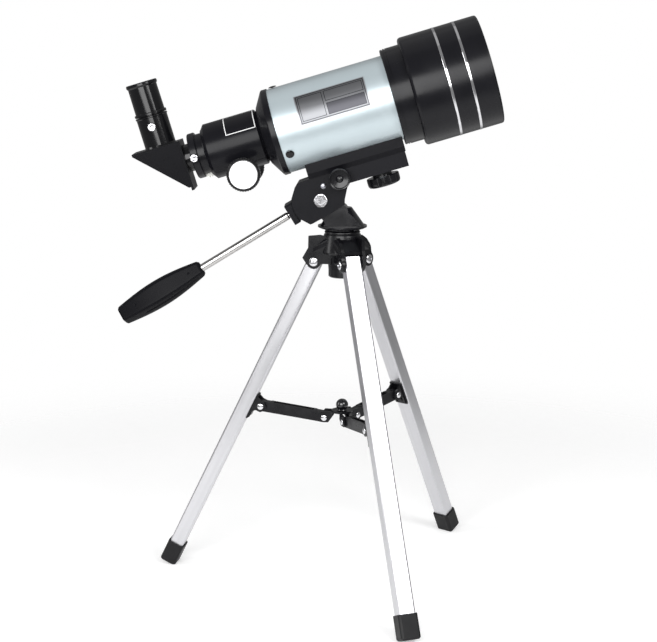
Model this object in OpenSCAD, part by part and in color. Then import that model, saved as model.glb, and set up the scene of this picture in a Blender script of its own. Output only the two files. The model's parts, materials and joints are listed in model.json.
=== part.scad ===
// Small refracting telescope on a folding table tripod.
// X runs from the eyepiece end to the front lens, Z is up, and the floor is z = 0.

/* [Overall] */
// Slope of the telescope tube above level, degrees
tube_tilt = 16.4; // [0:0.1:30]
// Height of the tilt pivot above the floor
pivot_h = 377.2; // [360:0.5:420]
// Distance of the tilt pivot from the pan axis, toward the eyepiece
pivot_back = 20.5; // [16:0.5:26]
// Height of the tube axis above the tilt pivot, square to the tube
axis_rise = 72.8; // [68:0.2:90]

/* [Main tube] */
// Outer radius of the main tube
tube_r = 40.5; // [34:0.5:46]
// Wall of the main tube
tube_wall = 1.2; // [0.8:0.1:2]
// Rear end of the main tube behind the tilt pivot
tube_back = 20.3; // [15:0.1:40]
// Length of the main tube, with the part inside the objective cell
tube_len = 126.3; // [110:0.1:160]

/* [Objective and dew shield] */
// Outer radius of the objective cell
cell_r = 45.9; // [45:0.1:52]
// Visible length of the objective cell
cell_show = 18.5; // [14:0.5:24]
// Radius of the objective lens
lens_r = 35; // [28:0.5:36]
// Outer radius of the dew shield
dew_r = 51.7; // [51:0.1:60]
// Wall of the dew shield
dew_wall = 2.2; // [1.6:0.1:3.4]
// Length of the dew shield
dew_len = 76; // [66:1:95]
// Width of each trim ring
trim_w = 2.4; // [1.5:0.1:4]
// Distance of the two trim rings from the rear of the dew shield
trim_at = [33, 52.5];

/* [Focuser] */
// Outer radius of the focuser housing
housing_r = 26.4; // [25.5:0.1:29]
// Length of the focuser housing
housing_len = 51; // [46:0.5:60]
// Outer radius of the drawtube
draw_r = 19.5; // [17.5:0.1:19.5]
// Outer radius of the collar at the drawtube's end
draw_collar_r = 21.8; // [21:0.1:23]
// Gap between the drawtube collar and the housing in the stored position
draw_out = 6.5; // [5:0.5:12]
// Travel of the drawtube
draw_travel = 32; // [20:1:34]
// Pitch radius of the focusing pinion
pinion_r = 4.5; // [4.5:0.1:4.5]
// Number of teeth on the pinion
pinion_teeth = 12; // [12:1:12]
// Distance of the pinion axis below the tube axis
pinion_drop = 27; // [27:0.1:27]
// Radius of a focusing knob
knob_r = 16; // [12:0.5:17]
// Thickness of a focusing knob
knob_t = 11; // [8:0.5:14]

/* [Diagonal and eyepiece] */
// Radius of the eyepiece barrel and of the diagonal's barrel
barrel_r = 12.25; // [11.5:0.05:12.4]
// Wall of the eyepiece holder
holder_wall = 2.6; // [1.4:0.1:3]
// Width of the diagonal across the tube axis
diag_w = 34; // [31:0.5:38]
// Side of the diagonal's right angle
diag_side = 47; // [46:0.5:50]
// Height of the eyepiece holder above the diagonal
holder_h = 30; // [26:0.5:40]
// Length of the eyepiece outside the holder
eye_len = 31.8; // [24:0.2:36]

/* [Saddle and tilt head] */
// Half width of the saddle
saddle_hw = 19; // [16.5:0.5:22]
// Width over the two cheeks of the tilt bracket
bracket_w = 28.6; // [27:0.2:30]
// Thickness of a bracket cheek
cheek_t = 3; // [2:0.1:3.4]
// Height of the platform's upper face above the tilt pivot
platform_top = 22.6; // [21:0.1:25]
// Thickness of the platform bar
platform_t = 14.2; // [12:0.2:14.4]
// Front end of the platform bar ahead of the tilt pivot
platform_front = 89; // [84:1:96]
// Radius of the tilt bolt
bolt_r = 3; // [2.5:0.1:3.5]
// Radius of the clamping knob under the platform
clamp_r = 16; // [13:0.5:17]
// Radius of the dished locking knob
lock_r = 10.2; // [8:0.2:11]

/* [Pan handle] */
// Slope of the handle below the tube direction, degrees
handle_dip = 15; // [12:0.5:18]
// Radius of the handle rod
rod_r = 3.7; // [3:0.1:4.2]
// Length of the bare rod between the boss and the grip
rod_show = 101; // [85:1:105]
// Length of the grip
grip_len = 91; // [70:1:96]
// Largest radius of the grip
grip_r = 13.4; // [10:0.1:14]

/* [Tripod] */
// Turn of the front leg from straight ahead of the tube's side, degrees
leg_turn = 19.5; // [15:0.5:25]
// Slope of each leg from vertical, degrees
leg_splay = 26; // [24:0.2:28]
// Height of the leg pivots
leg_pivot_h = 317.5; // [300:0.5:318]
// Distance of the leg pivots from the pan axis
leg_pivot_r = 26; // [26:0.2:28]
// Width of a leg
leg_w = 16; // [14:0.2:16.4]
// Depth of a leg
leg_d = 14; // [12:0.2:14.4]
// Wall of a leg
leg_wall = 1.2; // [0.8:0.1:2]
// Height of the rubber feet along the leg
foot_h = 23; // [18:0.5:28]
// Wall of a rubber foot
foot_wall = 1.5; // [1:0.1:2]
// Radius of the pan disc
pan_r = 23.5; // [20:0.5:25]

/* [Spreader] */
// Distance of the bracket rivet down the leg from its pivot
rivet_down = 156.6; // [140:0.2:170]
// Distance of the bracket rivet inside the leg's centre line
rivet_in = 15.2; // [14.8:0.1:16]
// Distance of the spreader arms' inner rivets from the pan axis
hub_rivet_r = 17; // [17:0.1:18]
// Height of the spreader's inner rivets
hub_rivet_h = 161.9; // [158:0.1:165]
// Height of an arm's channel section
arm_h = 11; // [9:0.2:11]
// Width of an arm
arm_w = 8; // [7:0.2:8.4]
// Radius of the ball knob
ball_r = 6; // [5:0.2:7]

/* [Fits] */
// Radial clearance of every shaft and sleeve that turns or slides
run_gap = 0.05; // [0.03:0.01:0.08]
// Clearance between faces that pass each other
face_gap = 0.4; // [0.3:0.05:0.5]

/* [Hidden] */

legs = ["front", "left", "right"];
leg_angle = [leg_turn - 90, leg_turn - 210, leg_turn + 30];
thin = 0.01;

// Positions along the tube, measured ahead of the tilt pivot.
dew_back = tube_back * -1 + tube_len + 4;
dew_front = dew_back + dew_len;
cell_back = dew_back - cell_show;
lens_back = dew_back + 3;
lens_t = 5.5;
flint_t = 4;
retainer_back = lens_back + flint_t + lens_t + 0.6;
rear_ring_t = 6.2;
rear_ring_r = tube_r + 0.9;
cone_t = 8;
neck_r = 23.8;
neck_t = 2.2;
housing_front = -tube_back - rear_ring_t - cone_t - neck_t;
housing_back = housing_front - housing_len;
chamfer_t = 3.8;
nose_r = 22.2;
nose_back = housing_back - chamfer_t;
collar_t = 7;
collar_front = nose_back - draw_out;
collar_back = collar_front - collar_t;
draw_len = 56;
bore_r = draw_r + run_gap;
pinion_u = -61;
gear_w = 7;
tooth_pitch = 2 * PI * pinion_r / pinion_teeth;
tooth_out = 0.6;
tooth_in = 0.9;
tooth_play = 0.12;
rack_w = 7;
rack_seat = 17.9;
shaft_r = 2.5;
block_w = 26;
knob_y = housing_r + 1.6;
light_r = 10.6;
shoulder_r = 13.3;
flange_t = 2.2;
mirror_t = 4;
mirror_len = 44;
diag_front = collar_back - 6.4;
diag_back = diag_front - diag_side;
eye_u = diag_front - diag_side / 2 + 3.4;
diag_top = axis_rise + 18.6;
holder_r = barrel_r + holder_wall;
holder_top = diag_top + holder_h;
eye_top = holder_top + eye_len;
insert_len = 24;
holder_screw_w = diag_top + 19.6;

// Tilt head.
bracket_hw = bracket_w / 2;
tongue_hw = bracket_hw - cheek_t - face_gap;
platform_back = 30;
clamp_u = 62.4;
stud_r = 3.1;
lock_u = 23.2;
lock_w = 15.6;
lock_out = max(bracket_hw + 1.6, saddle_hw + face_gap);
boss_u = -26.2;
boss_w = -4.3;
boss_t = 11;
boss_len = 12;
cheek_back_r = 27.8;
boss_h = 20.5;
rod_start = boss_t / 2;
rod_depth = 4.4;
thread_r = rod_r - 0.7;
grip_start = rod_start + rod_show;
grip_front_r = 7.7;
grip_rear_r = 9.4;

// Tripod.
pan_top = 352.2;
pan_t = 2.8;
hub_top = 347;
hub_bottom = 302;
neck_bore_r = 7;
ear_t = 3;
ear_r = 7;
column_r = 13.4;
ear_in = leg_w / 2 + face_gap;
fork_hw = ear_in + ear_t;
screw_r = 2.4;
foot_cut = 1.8;
sole_half = leg_d / 2 + foot_wall;
leg_len = (leg_pivot_h + foot_cut - sole_half * sin(leg_splay)) / cos(leg_splay);
leg_up = 6;

// Spreader: outer rivet, inner rivet and the slope of the arm between them.
rivet_r = leg_pivot_r + rivet_down * sin(leg_splay) - rivet_in * cos(leg_splay);
rivet_h = leg_pivot_h - rivet_down * cos(leg_splay) - rivet_in * sin(leg_splay);
arm_run = rivet_r - hub_rivet_r;
arm_drop = rivet_h - hub_rivet_h;
arm_len = norm([arm_run, arm_drop]);
arm_slope = atan(arm_drop / arm_run);
pin_r = 1.6;

// Corners that reach furthest, which set where the pan axis stands in the box.
foot_far = leg_pivot_r + leg_len * sin(leg_splay) + sole_half * cos(leg_splay);
foot_half_w = leg_w / 2 + foot_wall;
grip_end = grip_start + grip_len;
front_x = dew_front * cos(tube_tilt) - (axis_rise - dew_r) * sin(tube_tilt) - pivot_back;
rear_x = -pivot_back + boss_u * cos(tube_tilt) - boss_w * sin(tube_tilt)
    - grip_end * cos(tube_tilt + handle_dip) - (grip_rear_r - 1) * sin(tube_tilt + handle_dip);
front_y = -foot_far * cos(leg_turn) - foot_half_w * sin(leg_turn);
back_y = foot_far * sin(leg_turn + 30) + foot_half_w * cos(leg_turn + 30);
centre_x = -(front_x + rear_x) / 2;
centre_y = -(front_y + back_y) / 2;

// ---- placing ----

// The tripod's frame: pan axis at the origin, floor at z = 0.
module stand() {
    translate([centre_x, centre_y, 0]) children();
}

// The tilting frame: tilt pivot at the origin, X along the tube.
module tilting() {
    stand() translate([-pivot_back, 0, pivot_h]) rotate([0, -tube_tilt, 0]) children();
}

// A turned shape on the tube axis, drawn as [distance along the tube, radius].
module on_axis() {
    tilting() translate([0, 0, axis_rise]) rotate([0, 90, 0]) rotate([0, 0, 90]) children();
}

// The frame of leg k: pivot at the origin, leg running down local Z, X outward.
module at_leg(k) {
    stand() rotate([0, 0, leg_angle[k]]) translate([leg_pivot_r, 0, leg_pivot_h])
        rotate([0, -leg_splay, 0]) children();
}

// The upright frame of leg k: X outward from the pan axis.
module beside_leg(k) {
    stand() rotate([0, 0, leg_angle[k]]) children();
}

// A shape turned about Z from an outline of [height, radius] pairs.
module turned(outline) {
    rotate_extrude($fn = 96) polygon([for (p = outline) [p[1], p[0]]]);
}

module rod_y(r, length) {
    rotate([90, 0, 0]) cylinder(r = r, h = length, center = true, $fn = 48);
}

module rounded_box(size, r) {
    linear_extrude(size[2]) offset(r) square([size[0] - 2 * r, size[1] - 2 * r], center = true, $fn = 24);
}

// ---- optical tube ----

module dew_shield() {
    inner = dew_r - dew_wall;
    edge = 1.6;
    groove = 0.7;
    color([0.03, 0.03, 0.035]) on_axis() difference() {
        turned([[dew_back, cell_r + run_gap], [dew_back, dew_r - 2.4], [dew_back + 0.8, dew_r - 0.8],
            [dew_back + 2.6, dew_r], [dew_front - edge, dew_r], [dew_front - 0.4, dew_r - 0.5],
            [dew_front, dew_r - 1.2], [dew_front, inner + 0.3], [dew_front - 0.4, inner],
            [dew_back + 15, inner], [dew_back + 13.5, cell_r + run_gap]]);
        for (at = trim_at) turned([[dew_back + at, dew_r - groove], [dew_back + at, dew_r + 1],
            [dew_back + at + trim_w, dew_r + 1], [dew_back + at + trim_w, dew_r - groove]]);
    }
}

module trim_rings() {
    color([0.8, 0.8, 0.82]) on_axis() for (at = trim_at)
        turned([[dew_back + at, dew_r - 0.7], [dew_back + at, dew_r - 0.05],
            [dew_back + at + 0.3, dew_r + 0.2], [dew_back + at + trim_w - 0.3, dew_r + 0.2],
            [dew_back + at + trim_w, dew_r - 0.05], [dew_back + at + trim_w, dew_r - 0.7]]);
}

module objective_cell() {
    step = 2.2;
    groove = 0.8;
    stop = dew_back - 3.4;
    color([0.05, 0.05, 0.055]) on_axis() turned([[cell_back, tube_r], [cell_back, cell_r - 1],
        [cell_back + 0.6, cell_r - 0.3], [cell_back + step, cell_r - 0.3],
        [cell_back + step, cell_r - groove], [cell_back + step + 0.8, cell_r - groove],
        [cell_back + step + 0.8, cell_r], [cell_back + 2 * step, cell_r],
        [cell_back + 2 * step, cell_r - groove], [cell_back + 2 * step + 0.8, cell_r - groove],
        [cell_back + 2 * step + 0.8, cell_r], [dew_back + 13.4, cell_r], [dew_back + 13.4, lens_r + 3],
        [retainer_back, lens_r + 3], [retainer_back, lens_r + 0.1], [lens_back, lens_r + 0.1],
        [lens_back, lens_r - 2], [stop, lens_r - 2], [stop, tube_r]]);
}

// A lens between two spherical faces, with the given sag at the rim.
module lens(back, thick, radius, back_sag, front_sag) {
    steps = 8;
    turned(concat([for (i = [0:steps]) [back + back_sag * pow(i / steps, 2), radius * i / steps]],
        [for (i = [steps:-1:0]) [back + thick - front_sag * pow(i / steps, 2), radius * i / steps]]));
}

module crown_lens() {
    color([0.55, 0.7, 0.75, 0.5]) on_axis()
        lens(lens_back + flint_t + 0.3, lens_t, lens_r, 1.2, 1.6);
}

module flint_lens() {
    color([0.55, 0.65, 0.8, 0.5]) on_axis() lens(lens_back, flint_t, lens_r, 0.4, -1.2);
}

module lens_retainer() {
    color([0.08, 0.08, 0.08]) on_axis() turned([[retainer_back - 1.2, lens_r - 2.2],
        [retainer_back - 0.2, lens_r - 1.5], [retainer_back, lens_r - 1.5],
        [retainer_back, lens_r + 2.95], [retainer_back + 3, lens_r + 2.95],
        [retainer_back + 3, lens_r - 0.5], [retainer_back + 1.5, lens_r - 2.2]]);
}

module main_tube() {
    color([0.62, 0.72, 0.73]) on_axis()
        turned([[-tube_back, tube_r - tube_wall], [-tube_back, tube_r],
            [tube_len - tube_back, tube_r], [tube_len - tube_back, tube_r - tube_wall]]);
}

module label_plate() {
    low = 1.5;
    sweep = 41.5;
    color([0.45, 0.47, 0.48]) tilting() translate([3.3, 0, axis_rise]) rotate([0, 90, 0])
        rotate([0, 0, -90 - low - sweep]) rotate_extrude(angle = sweep, $fn = 96)
        translate([tube_r, 0]) square([0.4, 67.2]);
}

module rear_cell() {
    ring_back = -tube_back - rear_ring_t;
    cone_back = ring_back - cone_t;
    color([0.1, 0.1, 0.11]) on_axis() turned([[-tube_back + 5, tube_r - tube_wall],
        [-tube_back, tube_r - tube_wall], [-tube_back, rear_ring_r],
        [ring_back + 1, rear_ring_r], [ring_back, rear_ring_r - 1],
        [cone_back, neck_r + 3.6], [cone_back - 0.7, neck_r + 1.4], [cone_back - 1.4, neck_r + 0.4],
        [housing_front, neck_r], [housing_front, bore_r + 0.4], [ring_back - 3, bore_r + 0.4],
        [ring_back, tube_r - 6], [-tube_back + 5, tube_r - 4]]);
}

// A domed screw head standing on a cylinder's wall, pointing along +Z.
module domed_head(r, h) {
    rotate_extrude($fn = 32) polygon(concat([[0, 0]],
        [for (a = [0:15:90]) [r * cos(a), h * (0.35 + 0.65 * sin(a))]]));
}

module tube_screws() {
    color([0.02, 0.02, 0.02]) tilting() for (a = [31, 151, 271])
        translate([-tube_back + 6.2, 0, axis_rise]) rotate([a - 90, 0, 0])
            translate([0, 0, -tube_r - 0.05]) mirror([0, 0, 1]) domed_head(4.1, 1.8);
}

// ---- focuser ----

module focuser_housing() {
    block_low = pinion_drop + shaft_r + 3.4;
    color([0.05, 0.05, 0.055]) tilting() difference() {
        union() {
            translate([0, 0, axis_rise]) rotate([0, 90, 0]) turned([[housing_front, 0],
                [housing_front, housing_r - 1], [housing_front - 1, housing_r],
                [housing_back, housing_r], [nose_back + 0.6, nose_r], [nose_back, nose_r - 0.4],
                [nose_back, 0]]);
            translate([pinion_u - 11, -block_w / 2, axis_rise - block_low])
                cube([22, block_w, block_low - 12]);
        }
        translate([nose_back - 1, 0, axis_rise]) rotate([0, 90, 0])
            cylinder(r = bore_r, h = housing_len + chamfer_t + 3, $fn = 96);
        translate([nose_back - 1, -rack_w / 2 - face_gap, axis_rise - pinion_drop + pinion_r - 1.1])
            cube([housing_len + chamfer_t + 3, rack_w + 2 * face_gap, 12]);
        translate([pinion_u, 0, axis_rise - pinion_drop])
            rod_y(pinion_r + tooth_out + 0.5, rack_w + 2 * face_gap);
        translate([pinion_u, 0, axis_rise - pinion_drop]) rod_y(shaft_r + run_gap, 2 * block_w);
    }
}

module drawtube() {
    inner = draw_r - 2.4;
    front = collar_front + draw_len;
    color([0.07, 0.07, 0.075]) tilting() difference() {
        translate([0, 0, axis_rise]) rotate([0, 90, 0]) turned([[collar_back, barrel_r + run_gap],
            [collar_back, draw_collar_r - 0.8], [collar_back + 0.8, draw_collar_r],
            [collar_front - 0.8, draw_collar_r], [collar_front, draw_collar_r - 0.8],
            [collar_front, draw_r], [front, draw_r], [front, inner], [collar_back + 18, inner],
            [collar_back + 15, barrel_r + run_gap]]);
        translate([collar_front, -rack_w / 2, axis_rise - 40])
            cube([draw_len + 1, rack_w, 40 - rack_seat]);
        translate([(collar_back + collar_front) / 2, -14, axis_rise]) rod_y(1.5 + run_gap, 20);
    }
}

// Straight-sided rack teeth that fit the pinion, with a gap centred on the pinion.
module focus_rack() {
    pitch_w = pinion_drop - pinion_r;
    root_w = pitch_w - tooth_in;
    tip_w = pitch_w + tooth_out - 0.05;
    half = tooth_pitch / 4 - tooth_play;
    first = ceil((collar_front + 1 - pinion_u) / tooth_pitch);
    last = floor((collar_front + draw_len - 1 - pinion_u) / tooth_pitch) - 1;
    slant = tan(20);
    color([0.75, 0.75, 0.72]) tilting() translate([0, 0, axis_rise]) rotate([90, 0, 0])
        linear_extrude(rack_w - 0.02, center = true) union() {
            translate([collar_front, -root_w]) square([draw_len, root_w - rack_seat]);
            for (i = [first:last]) translate([pinion_u + (i + 0.5) * tooth_pitch, 0])
                polygon([[-half - tooth_in * slant, -root_w + thin], [half + tooth_in * slant, -root_w + thin],
                    [half - tooth_out * slant, -tip_w], [-half + tooth_out * slant, -tip_w]]);
        }
}

// Outline of a gear tooth's flank: the involute of the base circle, as [radius, half angle].
function involute(t) = t * 180 / PI - atan(t);
function flank(r, base) = let (t = sqrt(max(0, pow(r / base, 2) - 1))) involute(t);

module pinion_gear() {
    base = pinion_r * cos(20);
    tip = pinion_r + tooth_out;
    root = pinion_r - tooth_in;
    half = 90 / pinion_teeth - tooth_play / pinion_r * 180 / PI + flank(pinion_r, base);
    radii = [for (i = [0:5]) base + (tip - base) * i / 5];
    circle(r = root, $fn = 48);
    for (k = [0:pinion_teeth - 1]) rotate(k * 360 / pinion_teeth + 90) polygon(concat(
        [[root - 0.5, -base * sin(half)]],
        [for (r = radii) let (a = half - flank(r, base)) [r * cos(a), -r * sin(a)]],
        [for (i = [5:-1:0]) let (r = radii[i], a = half - flank(r, base)) [r * cos(a), r * sin(a)]],
        [[root - 0.5, base * sin(half)]]));
}

module pinion_shaft() {
    color([0.7, 0.7, 0.7]) tilting() translate([pinion_u, 0, axis_rise - pinion_drop]) {
        rod_y(shaft_r, 2 * knob_y + 12);
        rotate([90, 0, 0]) linear_extrude(gear_w, center = true) pinion_gear();
    }
}

// A ribbed knob on the pinion shaft: side is -1 for the near one and 1 for the far one.
module focus_knob(side) {
    ribs = 40;
    color([0.04, 0.04, 0.045]) tilting() translate([pinion_u, side * knob_y, axis_rise - pinion_drop])
        rotate([-90 * side, 0, 0]) difference() {
            union() {
                rotate_extrude($fn = 72) polygon([[0, 0], [9, 0], [9.5, 1.2], [knob_r - 1.4, 1.8],
                    [knob_r - 0.6, 3], [knob_r - 0.6, knob_t - 1], [knob_r - 1.6, knob_t], [0, knob_t]]);
                for (i = [0:ribs - 1]) rotate(i * 360 / ribs) translate([knob_r - 1.3, -0.7, 2.6])
                    cube([1.1, 1.4, knob_t - 4]);
            }
            translate([0, 0, -1]) cylinder(r = shaft_r, h = 7, $fn = 48);
            translate([0, 0, knob_t - 1]) cylinder(r = knob_r - 2.6, h = 2, $fn = 72);
        }
}

module focus_knob_near() {
    focus_knob(-1);
}

module focus_knob_far() {
    focus_knob(1);
}

module knob_caps() {
    color([0.9, 0.9, 0.9]) tilting() for (side = [-1, 1])
        translate([pinion_u, side * knob_y, axis_rise - pinion_drop]) rotate([-90 * side, 0, 0])
            translate([0, 0, knob_t - 1]) cylinder(r1 = knob_r - 2.6, r2 = knob_r - 3, h = 1.4, $fn = 72);
}

// A thumb screw pointing at the viewer's side, with its head's underside at the origin.
module thumb_screw(reach) {
    notches = 12;
    rotate([90, 0, 0]) {
        translate([0, 0, -reach]) cylinder(r = 1.5, h = reach + 1, $fn = 32);
        difference() {
            rotate_extrude($fn = 48) polygon([[0, 0], [2.6, 0], [2.8, 1], [3.8, 1.4], [3.9, 2],
                [3.9, 5.6], [3.5, 6.2], [0, 6.6]]);
            for (i = [0:notches - 1]) rotate(i * 360 / notches)
                translate([4.15, 0, 1]) cylinder(r = 0.5, h = 6, $fn = 16);
        }
    }
}

module drawtube_screw() {
    color([0.85, 0.85, 0.87]) tilting() translate([(collar_back + collar_front) / 2,
        -draw_collar_r - 0.5, axis_rise]) thumb_screw(draw_collar_r - barrel_r - 0.3);
}

// ---- diagonal and eyepiece ----

module diagonal_barrel() {
    color([0.75, 0.75, 0.78]) on_axis()
        turned([[diag_front, light_r], [diag_front, shoulder_r], [collar_back - 0.4, shoulder_r],
            [collar_back - 0.4, barrel_r], [collar_back + 14, barrel_r], [collar_back + 14, light_r]]);
}

module diagonal_flange() {
    color([0.12, 0.12, 0.13]) tilting() difference() {
        translate([diag_front - flange_t, -diag_w / 2, diag_top - diag_side - 0.8])
            cube([flange_t, diag_w, diag_side + 0.8]);
        translate([diag_front - flange_t - 1, 0, axis_rise]) rotate([0, 90, 0])
            cylinder(r = light_r, h = flange_t + 2, $fn = 64);
    }
}

module diagonal_body() {
    back = diag_back;
    front = diag_front - flange_t;
    low = diag_top - diag_side + 2.4;
    color([0.03, 0.03, 0.035]) tilting() difference() {
        rotate([90, 0, 0]) linear_extrude(diag_w - 1.2, center = true)
            polygon([[front, diag_top], [front, low], [front - 2, low], [back, diag_top - 2.2],
                [back, diag_top]]);
        difference() {
            union() {
                translate([eye_u - light_r, 0, axis_rise]) rotate([0, 90, 0])
                    cylinder(r = light_r, h = front - eye_u + light_r + 1, $fn = 64);
                translate([eye_u, 0, axis_rise - light_r])
                    cylinder(r = light_r, h = diag_top - axis_rise + light_r + 1, $fn = 64);
            }
            mirror_place() translate([0, 0, -diag_w]) cube([2 * diag_w, diag_w, 2 * diag_w], center = true);
        }
        mirror_place() translate([0, 0, -mirror_t / 2])
            cube([mirror_len + 0.1, diag_w - 6, mirror_t + 0.04], center = true);
    }
}

// The slanted place of the mirror: its face, at z = 0, holds the point where the two axes cross.
module mirror_place() {
    translate([eye_u, 0, axis_rise]) rotate([0, 45, 0]) children();
}

module diagonal_mirror() {
    color([0.8, 0.82, 0.85]) tilting() mirror_place() translate([0, 0, -mirror_t / 2])
        cube([mirror_len, diag_w - 6.2, mirror_t], center = true);
}

module eyepiece_holder() {
    color([0.04, 0.04, 0.045]) tilting() difference() {
        translate([eye_u, 0, 0]) turned([[diag_top, barrel_r + run_gap], [diag_top, holder_r + 0.6],
            [diag_top + 1.6, holder_r], [holder_top - 2, holder_r], [holder_top - 1.4, holder_r + 0.6],
            [holder_top - 0.6, holder_r + 0.6], [holder_top, holder_r],
            [holder_top, barrel_r + run_gap]]);
        translate([eye_u, -14, holder_screw_w]) rod_y(1.5 + run_gap, 20);
    }
}

module holder_screw() {
    color([0.85, 0.85, 0.87]) tilting() translate([eye_u, -holder_r - 0.5, holder_screw_w])
        thumb_screw(holder_r - barrel_r - 0.1);
}

module eyepiece_body() {
    ring = holder_top + 0.4;
    color([0.02, 0.02, 0.022]) tilting() translate([eye_u, 0, 0])
        turned([[holder_top - insert_len, barrel_r], [ring, barrel_r], [ring, 14.9], [ring + 0.5, 15.4],
            [ring + 2.2, 15.4], [ring + 2.7, 14.9], [ring + 2.9, 14.1], [eye_top - 4.2, 13.9],
            [eye_top - 3.4, 14.6], [eye_top - 2.6, 15], [eye_top - 0.8, 15], [eye_top, 14.2],
            [eye_top, 12.4], [eye_top - 3.6, 7.2], [eye_top - 6, 6.8], [eye_top - 6, 10.4],
            [holder_top - insert_len, 10.4]]);
}

module eyepiece_lenses() {
    color([0.5, 0.6, 0.7, 0.5]) tilting() translate([eye_u, 0, 0]) {
        lens(eye_top - 10, 3.9, 10.35, 0.2, 0.6);
        lens(holder_top - insert_len + 2, 3.6, 10.35, 0.6, 0.2);
    }
}

// ---- saddle and tilt head ----

module saddle() {
    low_hw = saddle_hw - 3.4;
    rise = axis_rise - sqrt(pow(tube_r, 2) - pow(saddle_hw, 2)) + 0.4;
    back = -4.9;
    color([0.08, 0.08, 0.085]) tilting() difference() {
        translate([back, 0, 0]) rotate([90, 0, 90]) linear_extrude(platform_front + 0.8 - back)
            polygon([[-low_hw, platform_top], [low_hw, platform_top], [saddle_hw, platform_top + 5],
                [saddle_hw, rise], [-saddle_hw, rise], [-saddle_hw, platform_top + 5]]);
        translate([back - 1, 0, axis_rise]) rotate([0, 90, 0])
            cylinder(r = tube_r + 0.05, h = platform_front + 10, $fn = 96);
        translate([clamp_u, 0, platform_top - 1]) cylinder(r = stud_r + run_gap, h = 7.4, $fn = 48);
    }
}

module platform() {
    hw = bracket_hw + 1.2;
    low = platform_top - platform_t;
    color([0.2, 0.2, 0.22]) tilting() difference() {
        translate([platform_back, -hw, low]) cube([platform_front - platform_back, 2 * hw, platform_t]);
        translate([platform_back - 1, -hw + 3.4, low - 1])
            cube([14, 2 * hw - 6.8, platform_t - 2.4]);
        translate([clamp_u, 0, low - 1]) cylinder(r = stud_r + run_gap, h = platform_t + 2, $fn = 48);
    }
}

// Side view of a cheek, as [along the tube, square to the tube] from the tilt pivot.
module cheek_outline() {
    polygon([[-4.9, platform_top], [-15.5, 22], [-21.9, 16], [-26.2, 9.4], [-27.6, 3],
        [-27.2, -4.4], [-22.8, -12.4], [-15.9, -19.1], [-13.4, -18.9], [4.6, -14.8], [20.7, -10],
        [22.2, -5.2], [27, 3.8], [platform_back, platform_top - platform_t],
        [platform_back, platform_top]]);
}

module tilt_bracket() {
    color([0.1, 0.1, 0.11]) tilting() difference() {
        union() {
            for (side = [-1, 1]) translate([0, side * (bracket_hw - cheek_t / 2), 0]) rotate([90, 0, 0])
                linear_extrude(cheek_t, center = true) cheek_outline();
            translate([-15.4, -bracket_hw, platform_top - 3])
                cube([platform_back + 15.4, bracket_w, 2.4]);
            translate([-4.9, -bracket_hw, platform_top - 3])
                cube([platform_back + 4.9, bracket_w, 3]);
        }
        rod_y(bolt_r + run_gap, 2 * bracket_w);
        translate([lock_u, 0, lock_w]) rod_y(bolt_r + run_gap, 2 * bracket_w);
    }
}

module clamp_knob() {
    flutes = 10;
    top = platform_top - platform_t - 3.2;
    knob_h = 9.6;
    color([0.04, 0.04, 0.045]) tilting() translate([clamp_u, 0, 0]) {
        translate([0, 0, top - 1]) cylinder(r = stud_r, h = platform_top + 5.2 - top, $fn = 48);
        translate([0, 0, top - 0.5]) cylinder(r = 9.5, h = 3.4, $fn = 64);
        difference() {
            translate([0, 0, top - knob_h]) rotate_extrude($fn = 72) polygon([[0, 0], [clamp_r - 3.4, 0],
                [clamp_r - 1.4, 0.7], [clamp_r - 0.4, 2], [clamp_r, 4], [clamp_r, knob_h - 1],
                [clamp_r - 0.8, knob_h], [0, knob_h]]);
            for (i = [0:flutes - 1]) rotate(i * 360 / flutes) translate([clamp_r + 3.4, 0, top - knob_h - 1])
                cylinder(r = 4.4, h = knob_h + 2, $fn = 32);
        }
    }
}

module lock_knob() {
    knob_h = 8;
    stem_h = lock_out - bracket_hw - 0.2;
    color([0.06, 0.06, 0.065]) tilting() translate([lock_u, -lock_out, lock_w]) rotate([90, 0, 0]) {
        rotate_extrude($fn = 72) polygon([[0, 0], [lock_r - 2.2, 0], [lock_r - 1, 1.2],
            [lock_r, 3], [lock_r, knob_h - 0.6], [lock_r - 0.6, knob_h], [lock_r - 1.4, knob_h - 0.3],
            [lock_r - 1.9, knob_h - 2.6], [3.6, knob_h - 3.4], [2.6, knob_h - 2.4], [1.4, knob_h - 1.9],
            [0, knob_h - 1.8]]);
        translate([0, 0, -lock_out - bracket_hw - 1.6])
            cylinder(r = bolt_r, h = lock_out + bracket_hw + 2.4, $fn = 48);
        translate([0, 0, -stem_h]) cylinder(r = 6.5, h = stem_h + 0.2, $fn = 48);
    }
}

module hex(across, h) {
    cylinder(r = across / 2 / cos(30), h = h, $fn = 6);
}

// The hex bolt through the two cheeks and the tongue between them.
module tilt_bolt() {
    color([0.85, 0.85, 0.87]) tilting() {
        rod_y(bolt_r, bracket_w + 7);
        translate([0, -bracket_hw, 0]) rotate([90, 0, 0]) difference() {
            union() {
                rotate(30 + tube_tilt) hex(11, 4);
                cylinder(r = 6.2, h = 0.8, $fn = 48);
            }
            translate([0, 0, 3.3]) cylinder(r = 3.2, h = 2, $fn = 32);
        }
    }
}

module tilt_nut() {
    color([0.8, 0.8, 0.82]) tilting() translate([0, bracket_hw, 0]) rotate([-90, 0, 0]) difference() {
        rotate(30) hex(11, 3.2);
        translate([0, 0, -1]) cylinder(r = bolt_r, h = 6, $fn = 48);
    }
}

module stop_screws() {
    color([0.6, 0.6, 0.62]) tilting() for (side = [-1, 1])
        translate([6.2, side * bracket_hw, 12.6]) rotate([-90 * side, 0, 0]) domed_head(2.7, 1.6);
}

// ---- pan handle ----

// The handle's frame: origin in the boss, Z along the rod toward the grip.
module in_handle_line() {
    translate([boss_u, 0, boss_w]) rotate([0, -90 - handle_dip, 0]) children();
}

module along_handle() {
    tilting() in_handle_line() children();
}

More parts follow.
